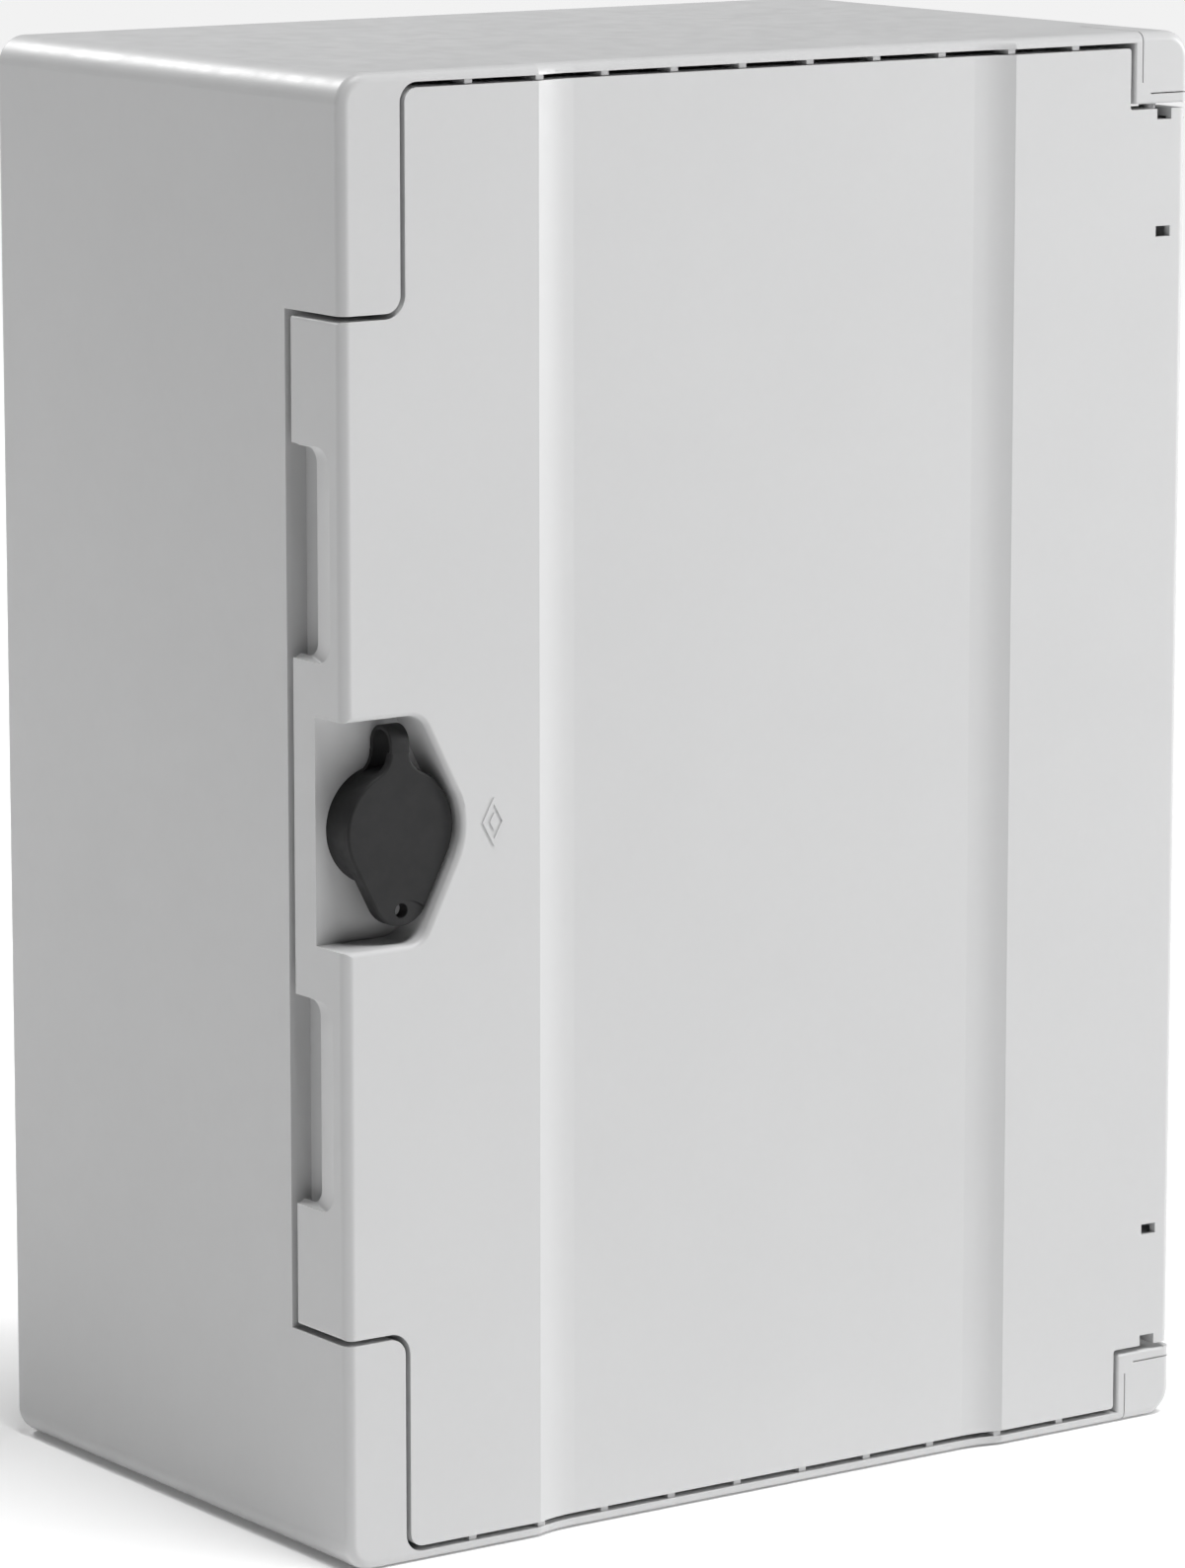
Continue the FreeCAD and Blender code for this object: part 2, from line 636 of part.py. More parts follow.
def door_panel():
    """The door moulding."""
    envelope = door_envelope()
    hollow = prism_y(door_outline(DOOR_SKIN), DOOR_SKIN, FAR).cut(channel_space(DOOR_SKIN))
    tub = envelope.cut(hollow)
    recess_walls = prism_y(recess_outline(DOOR_SKIN), DOOR_SKIN - 1, FLOOR_BACK)
    pad = seal_ring(SEAL_SIDE_GAP + SEAL_LIP_T, CHANNEL_DEPTH + 0.1, SEAL_LIP_BACK)
    extras = [recess_walls, pad] + stiffeners() + both_ends(knuckle())
    body = tub.fuse([e.common(envelope) for e in extras])
    cuts = [seal_ring(SEAL_SIDE_GAP, SEAL_FLOOR, SEAL_LIP_BACK + 1), recess_space()]
    cuts += [grip_space(side) for side in (-1, 1)]
    cuts.append(cyl_y(LOCK_CX, MID_Z, BARREL_R + LOCK_FIT, 0, FLOOR_BACK + 1))
    for cut in hinge_cuts() + door_flange_trims():
        cuts += both_ends(cut)
    for cut in cuts:
        body = body.cut(cut)
    return body.removeSplitter()


def door_seal():
    """Foamed seal in the door's groove, resting its face on the rim."""
    return seal_ring(0, SEAL_FLOOR, SEAL_BACK)


def hinge_pin():
    """Upper hinge pin, pressed in from above."""
    shank = cyl_z(PIN_X, PIN_Y, PIN_R, KNUCKLE_BOTTOM - PIN_PROUD, BOSS_TOP + 0.5)
    head = cyl_z(PIN_X, PIN_Y, PIN_HEAD_R, BOSS_TOP, BOSS_TOP + PIN_HEAD_T)
    shank = shank.makeChamfer(0.6, [e for e in shank.Edges
                                    if e.BoundBox.ZMax < KNUCKLE_BOTTOM - PIN_PROUD + 0.01])
    return shank.fuse(head).removeSplitter()


def hinge_cover():
    """Upper corner cap over the hinge pin."""
    space = box(COVER_X + COVER_SEAM, RIGHT + 1, -1, COVER_L - COVER_SEAM,
                COVER_Z + COVER_SEAM, HEIGHT + 1)
    nose = box(COVER_X, COVER_X + COVER_NOSE, -1, COVER_T, COVER_Z, COVER_Z + COVER_NOSE)
    hollow = box(COVER_X - 1, RIGHT - COVER_T, COVER_T, COVER_L, COVER_Z - 1, HEIGHT - COVER_T)
    cap = shell_envelope().common(space.fuse(nose)).cut(hollow)
    post = cyl_z(PIN_X, PIN_Y, PIN_HEAD_R - 0.5, BOSS_TOP + PIN_HEAD_T, HEIGHT - COVER_T + 0.5)
    return cap.fuse(post).removeSplitter()


def mounting_plate():
    """Steel plate with rows of slots, screwed to the posts."""
    x = PLATE_W / 2
    z = PLATE_H / 2
    corners = rectangle(-x, x, MID_Z - z, MID_Z + z, PLATE_CORNER_R)
    plate = prism_y(corners, PLATE_FRONT, POST_FRONT)
    cuts = [cyl_y(px, pz, SCREW_HOLE_R, PLATE_FRONT - 1, POST_FRONT + 1)
            for px, pz in plate_points()]
    span_x = PLATE_W - 2 * SLOT_FROM_SIDE
    span_z = PLATE_H - 2 * SLOT_FROM_END
    for row in range(SLOT_ROWS):
        for col in range(SLOT_COLS):
            cx = (col / (SLOT_COLS - 1) - 0.5) * span_x
            cz = MID_Z + (row / (SLOT_ROWS - 1) - 0.5) * span_z
            ends = rectangle(cx - SLOT_L / 2, cx + SLOT_L / 2, cz - SLOT_R, cz + SLOT_R,
                             SLOT_R * 0.98)
            cuts.append(prism_y(ends, PLATE_FRONT - 1, POST_FRONT + 1))
    return plate.cut(cuts)


def at_plate_points(make):
    return Part.makeCompound([make(x, z) for x, z in plate_points()])


def plate_screw(x, z):
    top = PLATE_FRONT - WASHER_T
    head = cyl_y(x, z, SCREW_HEAD_R, top - SCREW_HEAD_T, top)
    head = head.makeFillet(1.2, [e for e in head.Edges if e.BoundBox.YMax < top - SCREW_HEAD_T + 0.01])
    shank = cyl_y(x, z, SCREW_R, top - 0.5, POST_FRONT + SCREW_L - PLATE_T)
    cross = [box(x - 2.4, x + 2.4, top - SCREW_HEAD_T - 1, top - 1.0, z - 0.5, z + 0.5),
             box(x - 0.5, x + 0.5, top - SCREW_HEAD_T - 1, top - 1.0, z - 2.4, z + 2.4)]
    return head.fuse(shank).cut(cross).removeSplitter()


def plate_washer(x, z):
    y = PLATE_FRONT - WASHER_T
    return cyl_y(x, z, WASHER_R, y, PLATE_FRONT).cut(
        cyl_y(x, z, SCREW_R + 0.15, y - 1, PLATE_FRONT + 1))


def threaded_insert(x, z):
    end = POST_FRONT + INSERT_L
    return cyl_y(x, z, INSERT_R, POST_FRONT, end).cut(
        cyl_y(x, z, SCREW_R + SCREW_FIT, POST_FRONT - 1, end + 1))


def lock_housing():
    """Round head and threaded barrel of the lock, bored for the rotor."""
    seat = RECESS_DEPTH - SEAT_T
    head = cyl_y(LOCK_CX, MID_Z, HEAD_R, HEAD_FRONT, seat)
    head = head.makeFillet(1.0, [e for e in head.Edges if e.BoundBox.YMax < HEAD_FRONT + 0.01])
    barrel = cyl_y(LOCK_CX, MID_Z, BARREL_R, seat - 0.5, BARREL_BACK)
    front_bore = cyl_y(LOCK_CX, MID_Z, ROTOR_FRONT_R + ROTOR_FIT, 0, HEAD_FRONT + ROTOR_LIP + 1)
    bore = cyl_y(LOCK_CX, MID_Z, ROTOR_R + ROTOR_FIT, HEAD_FRONT + ROTOR_LIP, FAR)
    return head.fuse(barrel).cut([front_bore, bore]).removeSplitter()


def lock_seal():
    y0 = RECESS_DEPTH - SEAT_T
    return cyl_y(LOCK_CX, MID_Z, HEAD_R - 0.4, y0, RECESS_DEPTH).cut(
        cyl_y(LOCK_CX, MID_Z, BARREL_R + LOCK_FIT, y0 - 1, FAR))


def lock_nut():
    """Hexagon nut that clamps the housing to the recess floor."""
    reach = NUT_FLATS / math.sqrt(3)
    corners = [(LOCK_CX + reach * math.cos(math.radians(60 * i + 30)),
                MID_Z + reach * math.sin(math.radians(60 * i + 30)), 0.8) for i in range(6)]
    nut = prism_y(corners, FLOOR_BACK, FLOOR_BACK + NUT_T)
    return nut.cut(cyl_y(LOCK_CX, MID_Z, BARREL_R + LOCK_FIT / 2, FLOOR_BACK - 1, FAR))


def square_tail(size, y0, y1):
    half = size / 2
    return box(LOCK_CX - half, LOCK_CX + half, y0, y1, MID_Z - half, MID_Z + half)


def lock_rotor():
    """Turning insert with a double-bit key well in front and a square tail behind."""
    step = HEAD_FRONT + ROTOR_LIP + ROTOR_FIT
    front = cyl_y(LOCK_CX, MID_Z, ROTOR_FRONT_R, HEAD_FRONT + 0.2, step + 0.5)
    body = cyl_y(LOCK_CX, MID_Z, ROTOR_R, step, BARREL_BACK)
    tail = square_tail(TAIL_SQUARE, BARREL_BACK - 0.5, CAM_FRONT + CAM_T)
    rotor = front.fuse([body, tail])
    floor = HEAD_FRONT + KEY_WELL_DEPTH
    well = cyl_y(LOCK_CX, MID_Z, KEY_WELL_R, 0, floor)
    post = cyl_y(LOCK_CX, MID_Z, KEY_POST_R, HEAD_FRONT + 1, floor + 1)
    bit = box(LOCK_CX - KEY_BIT_REACH, LOCK_CX + KEY_BIT_REACH, HEAD_FRONT + 1, floor + 1,
              MID_Z - KEY_BIT_T / 2, MID_Z + KEY_BIT_T / 2)
    rotor = rotor.cut(well).fuse([post, bit])
    thread = cyl_y(LOCK_CX, MID_Z, CAM_SCREW_R + SCREW_FIT, CAM_FRONT + CAM_T - CAM_SCREW_L, FAR)
    return rotor.cut(thread).removeSplitter()


def lock_cam():
    """Tongue on the rotor's tail: upright when unlocked, behind the catch when locked."""
    half = CAM_W / 2
    corners = [(LOCK_CX - half, MID_Z - half, half * 0.95), (LOCK_CX + half, MID_Z - half, half * 0.95),
               (LOCK_CX + half, MID_Z + CAM_REACH, 2.0), (LOCK_CX - half, MID_Z + CAM_REACH, 2.0)]
    cam = prism_y(corners, CAM_FRONT, CAM_FRONT + CAM_T)
    return cam.cut(square_tail(TAIL_SQUARE + 2 * SCREW_FIT, 0, FAR))


def cam_washer():
    y0 = CAM_FRONT + CAM_T
    return cyl_y(LOCK_CX, MID_Z, WASHER_R, y0, y0 + WASHER_T).cut(
        cyl_y(LOCK_CX, MID_Z, CAM_SCREW_R + 0.15, 0, FAR))


def cam_screw():
    y0 = CAM_FRONT + CAM_T + WASHER_T
    reach = CAM_SCREW_HEAD_R
    corners = [(LOCK_CX + reach * math.cos(math.radians(60 * i)),
                MID_Z + reach * math.sin(math.radians(60 * i)), 0.3) for i in range(6)]
    head = prism_y(corners, y0, y0 + CAM_SCREW_HEAD_T)
    shank = cyl_y(LOCK_CX, MID_Z, CAM_SCREW_R, y0 - CAM_SCREW_L, y0 + 0.5)
    return head.fuse(shank).removeSplitter()


def shouldered_disc(radius, y0, y1):
    """Disc with a strap stub at the top that flows into it through two fillets."""
    half = STRAP_W / 2
    stub = box(LOCK_CX - half, LOCK_CX + half, y0, y1, MID_Z, MID_Z + STRAP_JOIN_RISE + SHOULDER_R)
    disc = cyl_y(LOCK_CX, MID_Z, radius, y0, y1)
    joined = disc.fuse(stub).removeSplitter()

    def at_shoulder(edge):
        b = edge.BoundBox
        upright = b.XLength < 0.01 and b.ZLength < 0.01
        return upright and MID_Z < b.ZMin < MID_Z + radius + 0.01

    joined = round_edges(joined, SHOULDER_R, at_shoulder)
    return joined.cut(box(LEFT, LEFT + WIDTH, y0 - 1, y1 + 1, MID_Z + STRAP_JOIN_RISE, HEIGHT))


def tip_plate(y0, y1):
    """Tapered tip below the cap: the tangent hull of a large and a small circle."""
    lean = math.asin((CAP_R - TIP_R) / TIP_DROP)
    side = []
    for radius, drop in ((CAP_R, 0), (TIP_R, TIP_DROP)):
        side.append((radius * math.cos(lean), -drop - radius * math.sin(lean)))
    corners = [(LOCK_CX + x, MID_Z + z, 0) for x, z in side]
    corners += [(LOCK_CX - x, MID_Z + z, 0) for x, z in reversed(side)]
    hull = prism_y(corners, y0, y1)
    return hull.fuse(cyl_y(LOCK_CX, MID_Z - TIP_DROP, TIP_R, y0, y1))


def nail_scoop():
    """Shallow round scoop in the cap's face whose floor slopes down towards the door."""
    slope = math.radians(NAIL_SLOPE)
    axis = vec(-math.sin(slope), math.cos(slope), 0)
    floor = vec(LOCK_CX + NAIL_X, CAP_FRONT + (NAIL_X - NAIL_START) * math.tan(slope),
                MID_Z - NAIL_DROP)
    return Part.makeCylinder(NAIL_R, CAP_T, floor - axis * CAP_T, axis)


def cover_cap():
    """Rubber cap with a shallow plug, a strap stub and a pointed tip for a seal wire."""
    plate = shouldered_disc(CAP_R, CAP_FRONT, CAP_BACK).fuse(tip_plate(CAP_FRONT, CAP_BACK))
    plate = plate.removeSplitter()

    def front_rim(edge):
        b = edge.BoundBox
        return b.YMax < CAP_FRONT + 0.01 and b.ZMax < MID_Z + STRAP_JOIN_RISE - 0.01

    plate = round_edges(plate, CAP_EDGE_R, front_rim)
    thick = tip_plate(CAP_BACK - 0.5, CAP_FRONT + TIP_T).cut(
        cyl_y(LOCK_CX, MID_Z, RING_R + 2 * RUN_GAP, 0, FAR))
    plug = cyl_y(LOCK_CX, MID_Z, PLUG_R, CAP_BACK - 0.5, CAP_BACK + PLUG_T)
    hole = cyl_y(LOCK_CX, MID_Z - SEAL_HOLE_DROP, SEAL_HOLE_R, 0, FAR)
    return plate.fuse([thick, plug]).cut([hole, nail_scoop()]).removeSplitter()


def cover_ring():
    """Rubber ring round the lock head, with a stub for the back of the strap."""
    tube = cyl_y(LOCK_CX, MID_Z, RING_R, RING_FRONT, RECESS_DEPTH)
    stub = shouldered_disc(RING_R, STRAP_BACK_Y - STRAP_T, STRAP_BACK_Y)
    bore = cyl_y(LOCK_CX, MID_Z, HEAD_R + RING_BORE_GAP, 0, FAR)
    return tube.fuse(stub).removeSplitter().cut(bore)


def cover_strap():
    """Looped rubber strap from the ring to the cap."""
    loop_z = MID_Z + STRAP_LOOP_RISE
    join_z = MID_Z + STRAP_JOIN_RISE
    mid_y = CAP_FRONT + STRAP_LOOP_R
    x0 = LOCK_CX - STRAP_W / 2
    x1 = LOCK_CX + STRAP_W / 2
    inner = STRAP_LOOP_R - STRAP_T

    def rod(radius):
        return Part.makeCylinder(radius, STRAP_W, vec(x0, mid_y, loop_z), vec(1, 0, 0))

    loop = rod(STRAP_LOOP_R).cut(rod(inner)).cut(box(x0 - 1, x1 + 1, 0, FAR, 0, loop_z))
    front = box(x0, x1, CAP_FRONT, CAP_FRONT + STRAP_T, join_z + RUN_GAP, loop_z)
    back = box(x0, x1, STRAP_BACK_Y - STRAP_T, STRAP_BACK_Y, join_z, loop_z)
    return loop.fuse([front, back]).removeSplitter()


def export(name, shape):
    moved = shape.copy()
    moved.translate(vec(0, -DEPTH / 2, 0))
    solids = moved.Solids
    result = solids[0] if len(solids) == 1 else Part.makeCompound(solids)
    result.exportStep("parts/" + name + ".step")
    print(name, len(solids), "solid(s), valid" if result.isValid() else "solid(s), INVALID",
          round(result.Volume))


def main():
    os.makedirs("parts", exist_ok=True)
    export("shell", shell())
    export("door_panel", door_panel())
    export("door_seal", door_seal())
    export("hinge_pin_upper", hinge_pin())
    export("hinge_pin_lower", upside_down(hinge_pin()))
    export("hinge_cover_upper", hinge_cover())
    export("hinge_cover_lower", upside_down(hinge_cover()))
    export("mounting_plate", mounting_plate())
    export("plate_screws", at_plate_points(plate_screw))
    export("plate_washers", at_plate_points(plate_washer))
    export("threaded_inserts", at_plate_points(threaded_insert))
    export("lock_housing", lock_housing())
    export("lock_seal", lock_seal())
    export("lock_nut", lock_nut())
    export("lock_rotor", lock_rotor())
    export("lock_cam", lock_cam())
    export("cam_washer", cam_washer())
    export("cam_screw", cam_screw())
    export("cover_ring", cover_ring())
    export("cover_strap", cover_strap())
    export("cover_cap", cover_cap())


main()
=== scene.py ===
"""Looks of a moulded wall cabinet with a side-hinged door and a covered quarter-turn lock.

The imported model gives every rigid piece.  This script gives each of them its finish, builds
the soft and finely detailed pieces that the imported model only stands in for, and sets up a
plain studio round the cabinet.  Lengths are in metres.
"""
import logging
import math
from abc import ABC, abstractmethod
from dataclasses import dataclass
from enum import Enum
from typing import Dict, Iterator, List, Optional, Sequence, Tuple

import bmesh
import bpy
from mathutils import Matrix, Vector


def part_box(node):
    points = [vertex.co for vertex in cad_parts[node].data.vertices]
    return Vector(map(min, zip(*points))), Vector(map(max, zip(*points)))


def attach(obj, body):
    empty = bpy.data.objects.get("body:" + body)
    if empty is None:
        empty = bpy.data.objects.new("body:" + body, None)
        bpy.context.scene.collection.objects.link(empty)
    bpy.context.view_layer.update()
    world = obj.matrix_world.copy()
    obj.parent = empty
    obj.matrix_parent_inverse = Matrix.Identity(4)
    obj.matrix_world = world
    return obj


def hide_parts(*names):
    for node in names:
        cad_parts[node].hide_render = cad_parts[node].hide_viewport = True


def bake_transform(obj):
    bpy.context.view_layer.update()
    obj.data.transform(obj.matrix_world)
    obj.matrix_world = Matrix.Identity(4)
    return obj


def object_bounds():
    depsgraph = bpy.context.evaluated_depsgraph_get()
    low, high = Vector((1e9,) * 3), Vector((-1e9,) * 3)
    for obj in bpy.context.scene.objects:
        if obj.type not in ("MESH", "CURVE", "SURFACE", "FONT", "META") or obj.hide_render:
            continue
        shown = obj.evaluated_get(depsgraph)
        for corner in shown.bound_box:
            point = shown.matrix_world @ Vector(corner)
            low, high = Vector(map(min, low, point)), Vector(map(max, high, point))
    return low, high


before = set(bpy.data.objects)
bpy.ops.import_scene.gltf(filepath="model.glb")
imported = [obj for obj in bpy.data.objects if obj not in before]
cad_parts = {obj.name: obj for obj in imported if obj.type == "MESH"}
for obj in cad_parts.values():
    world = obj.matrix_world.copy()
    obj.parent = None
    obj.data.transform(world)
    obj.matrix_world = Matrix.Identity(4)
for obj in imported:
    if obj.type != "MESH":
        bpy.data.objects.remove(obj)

LOG = logging.getLogger("wall_cabinet")
bpy.context.view_layer.update()
CAD_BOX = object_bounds()
MM = 0.001
SOFT_EDGE_DEG = 60.0   # bends below this are shaded smooth on rubber and foam
HARD_EDGE_DEG = 20.0   # and on the small raised mark
Colour = Tuple[float, float, float]


class Body(Enum):
    """Moving bodies by name; of the pieces made here, the seal bead and the mark ride on the door.
    """

    DOOR = "door"
    COVER = "lock_cover"


# ---------------------------------------------------------------------------
# Material graphs
# ---------------------------------------------------------------------------


class Graph:
    """Node tree of one material, with short calls for the nodes that the finishes share."""

    def __init__(self, name: str) -> None:
        """Start a material with a single shader.

        Args:
            name: Name of the material.
        """
        self.material = bpy.data.materials.new(name)
        self.material.use_nodes = True
        self.nodes = self.material.node_tree.nodes
        self.links = self.material.node_tree.links
        self.shader = self.nodes["Principled BSDF"]
        self.place = self.add("ShaderNodeTexCoord").outputs["Object"]

    def add(self, kind: str, **settings: object) -> bpy.types.Node:
        """Add a node.

        Args:
            kind: Blender's name for the kind of node.
            **settings: Properties to set on it.

        Returns:
            The new node.
        """
        node = self.nodes.new(kind)
        for key, value in settings.items():
            setattr(node, key, value)
        return node

    def stretch(self, scale: Sequence[float]) -> bpy.types.NodeSocket:
        """Object coordinates scaled along each axis.

        Args:
            scale: Factor along X, Y and Z.

        Returns:
            Socket with the scaled coordinates.
        """
        mapping = self.add("ShaderNodeMapping")
        mapping.inputs["Scale"].default_value = scale
        self.links.new(self.place, mapping.inputs["Vector"])
        return mapping.outputs["Vector"]

    def noise(self, size_mm: float, detail: float = 2.0, rough: float = 0.5,
              place: Optional[bpy.types.NodeSocket] = None) -> bpy.types.NodeSocket:
        """Cloudy noise.

        Args:
            size_mm: Size of one cloud.
            detail: Octaves of finer noise.
            rough: Strength of the finer octaves.
            place: Coordinates to use instead of the plain object coordinates.

        Returns:
            Socket with values between 0 and 1.
        """
        node = self.add("ShaderNodeTexNoise")
        node.inputs["Scale"].default_value = 1.0 / (size_mm * MM)
        node.inputs["Detail"].default_value = detail
        node.inputs["Roughness"].default_value = rough
        self.links.new(place or self.place, node.inputs["Vector"])
        return node.outputs["Fac"]

    def spread(self, source: bpy.types.NodeSocket, low: float, high: float,
               start: float = 0.3, end: float = 0.7) -> bpy.types.NodeSocket:
        """Map a socket from one range to another.

        Args:
            source: Socket to map.
            low: Value at start.
            high: Value at end.
            start: Source value that gives low.
            end: Source value that gives high.

        Returns:
            Socket with the mapped value.
        """
        node = self.add("ShaderNodeMapRange")
        for key, value in (("From Min", start), ("From Max", end), ("To Min", low),
                           ("To Max", high)):
            node.inputs[key].default_value = value
        self.links.new(source, node.inputs["Value"])
        return node.outputs["Result"]

    def tint(self, source: bpy.types.NodeSocket, dark: Colour,
             light: Colour) -> bpy.types.NodeSocket:
        """Blend two colours by a value.

        Args:
            source: Value between 0 and 1.
            dark: Colour at 0.
            light: Colour at 1.

        Returns:
            Socket with the colour.
        """
        node = self.add("ShaderNodeMix", data_type="RGBA")
        node.inputs["A"].default_value = (*dark, 1.0)
        node.inputs["B"].default_value = (*light, 1.0)
        self.links.new(source, node.inputs["Factor"])
        return node.outputs["Result"]

    def bump(self, height: bpy.types.NodeSocket, depth_mm: float, strength: float,
             under: Optional[bpy.types.NodeSocket] = None) -> bpy.types.NodeSocket:
        """Turn a height into a normal.

        Args:
            height: Height between 0 and 1.
            depth_mm: Real height of the full range.
            strength: Share of the effect that is kept.
            under: Normal to lay this one over.

        Returns:
            Socket with the normal.
        """
        node = self.add("ShaderNodeBump")
        node.inputs["Distance"].default_value = depth_mm * MM
        node.inputs["Strength"].default_value = strength
        self.links.new(height, node.inputs["Height"])
        if under is not None:
            self.links.new(under, node.inputs["Normal"])
        return node.outputs["Normal"]

    def feed(self, name: str, source: bpy.types.NodeSocket) -> None:
        """Link a socket to one of the shader's inputs.

        Args:
            name: Name of the shader's input.
            source: Socket to link.
        """
        self.links.new(source, self.shader.inputs[name])

    def fix(self, **values: float) -> None:
        """Set constant inputs of the shader.

        Args:
            **values: Input names, with underscores for spaces, and their values.
        """
        for key, value in values.items():
            self.shader.inputs[key.replace("_", " ")].default_value = value


class Finish(ABC):
    """A finish that can make its material once and hand it out again."""

    _made: Dict[str, bpy.types.Material] = {}

    @property
    @abstractmethod
    def name(self) -> str:
        """Name of the finish."""

    @abstractmethod
    def paint(self, graph: Graph) -> None:
        """Fill in the material's nodes.

        Args:
            graph: Graph of the new material.
        """

    def material(self) -> bpy.types.Material:
        """Make the material the first time, and return it."""
        if self.name not in self._made:
            graph = Graph(self.name)
            self.paint(graph)
            self._made[self.name] = graph.material
        return self._made[self.name]


@dataclass(frozen=True)
class MouldedPlastic(Finish):
    """Through-coloured plastic from a textured mould: matt, evenly grained, faintly mottled."""

    name: str = "door_plastic_grey"
    colour: Colour = (0.58, 0.582, 0.585)
    roughness: float = 0.44
    smoother: float = 0.04   # how far the roughness falls in places
    rougher: float = 0.05    # and how far it rises
    mottling: float = 0.012
    patch_mm: float = 70.0
    fleck_mm: float = 3.5
    fleck_share: float = 0.35
    sheen_mm: float = 9.0
    wave_mm: float = 38.0
    wave_depth_mm: float = 0.05
    wave_share: float = 0.25
    grain_mm: float = 0.45
    grain_depth_mm: float = 0.014
    grain_share: float = 0.55

    def paint(self, graph: Graph) -> None:
        """Fill in the plastic's nodes.

        Args:
            graph: Graph of the new material.
        """
        patches = graph.noise(self.patch_mm, detail=3.0)
        flecks = graph.noise(self.fleck_mm, detail=2.0)
        mixed = graph.add("ShaderNodeMath", operation="MULTIPLY_ADD")
        mixed.inputs[1].default_value = self.fleck_share
        graph.links.new(flecks, mixed.inputs[0])
        graph.links.new(patches, mixed.inputs[2])
        tone = graph.spread(mixed.outputs["Value"], 0.0, 1.0, start=0.45, end=0.9)
        dark = tuple(c * (1 - self.mottling) for c in self.colour)
        light = tuple(min(1.0, c * (1 + self.mottling)) for c in self.colour)
        graph.feed("Base Color", graph.tint(tone, dark, light))
        sheen = graph.noise(self.sheen_mm, detail=3.0)
        graph.feed("Roughness", graph.spread(sheen, self.roughness - self.smoother,
                                             self.roughness + self.rougher))
        waves = graph.bump(graph.noise(self.wave_mm, detail=1.0), self.wave_depth_mm,
                           self.wave_share)
        grain = graph.noise(self.grain_mm, detail=2.0, rough=0.6)
        graph.feed("Normal", graph.bump(grain, self.grain_depth_mm, self.grain_share, under=waves))
        graph.fix(IOR=1.5)


@dataclass(frozen=True)
class SatinRubber(Finish):
    """Black moulded rubber with a soft sheen and a little bloom."""

    name: str = "black_rubber"
    colour: Colour = (0.019, 0.019, 0.0195)
    roughness: float = 0.58
    smoother: float = 0.05
    rougher: float = 0.06
    bloom_gain: float = 1.18
    bloom_mm: float = 6.0
    sheen_mm: float = 2.5
    grain_mm: float = 0.35
    grain_depth_mm: float = 0.012
    grain_share: float = 0.5

    def paint(self, graph: Graph) -> None:
        """Fill in the rubber's nodes.

        Args:
            graph: Graph of the new material.
        """
        bloom = graph.spread(graph.noise(self.bloom_mm, detail=4.0), 0.0, 1.0)
        light = tuple(c * self.bloom_gain for c in self.colour)
        graph.feed("Base Color", graph.tint(bloom, self.colour, light))
        sheen = graph.noise(self.sheen_mm, detail=3.0)
        graph.feed("Roughness", graph.spread(sheen, self.roughness - self.smoother,
                                             self.roughness + self.rougher))
        grain = graph.noise(self.grain_mm, detail=2.0)
        graph.feed("Normal", graph.bump(grain, self.grain_depth_mm, self.grain_share))
        graph.fix(IOR=1.5, Specular_IOR_Level=0.22)


@dataclass(frozen=True)
class FoamSeal(Finish):
    """Foamed-in-place sealing bead: matt, closed skin with small dimples."""

    name: str = "foamed_seal"
    colour: Colour = (0.030, 0.030, 0.033)
    pit_roughness: float = 0.78
    rim_roughness: float = 0.92
    skin_gain: float = 1.5
    shade_mm: float = 4.0
    cell_mm: float = 0.9
    cell_depth_mm: float = 0.06
    cell_share: float = 0.5

    def paint(self, graph: Graph) -> None:
        """Fill in the foam's nodes.

        Args:
            graph: Graph of the new material.
        """
        cells = graph.add("ShaderNodeTexVoronoi", feature="F1")
        cells.inputs["Scale"].default_value = 1.0 / (self.cell_mm * MM)
        graph.links.new(graph.place, cells.inputs["Vector"])
        dimples = cells.outputs["Distance"]
        shade = graph.spread(graph.noise(self.shade_mm, detail=3.0), 0.0, 1.0)
        light = tuple(c * self.skin_gain for c in self.colour)
        graph.feed("Base Color", graph.tint(shade, self.colour, light))
        graph.feed("Roughness", graph.spread(dimples, self.pit_roughness, self.rim_roughness,
                                             start=0.0, end=0.6))
        graph.feed("Normal", graph.bump(dimples, self.cell_depth_mm, self.cell_share))
        graph.fix(IOR=1.45)


@dataclass(frozen=True)
class PlatedSteel(Finish):
    """Zinc-plated steel: metallic, with a rolled or turned grain and faint spangle."""

    name: str = "zinc_plate"
    colour: Colour = (0.60, 0.61, 0.62)
    roughness: float = 0.36
    smoother: float = 0.07
    rougher: float = 0.1
    drawn: Tuple[float, float, float] = (1.0, 1.0, 30.0)
    warmth: float = 0.02
    dull_gain: float = 0.86
    spangle_mm: float = 7.0
    line_mm: float = 1.1
    line_depth_mm: float = 0.006
    line_share: float = 0.5

    def paint(self, graph: Graph) -> None:
        """Fill in the metal's nodes.

        Args:
            graph: Graph of the new material.
        """
        spangle = graph.noise(self.spangle_mm, detail=3.0)
        red, green, blue = self.colour
        warm = (red * (1 + self.warmth), green, blue * (1 - self.warmth))
        dull = tuple(c * self.dull_gain for c in self.colour)
        graph.feed("Base Color", graph.tint(graph.spread(spangle, 0.0, 1.0), dull, warm))
        lines = graph.noise(self.line_mm, detail=3.0, place=graph.stretch(self.drawn))
        graph.feed("Roughness", graph.spread(lines, self.roughness - self.smoother,
                                             self.roughness + self.rougher))
        graph.feed("Normal", graph.bump(lines, self.line_depth_mm, self.line_share))
        graph.fix(Metallic=1.0)


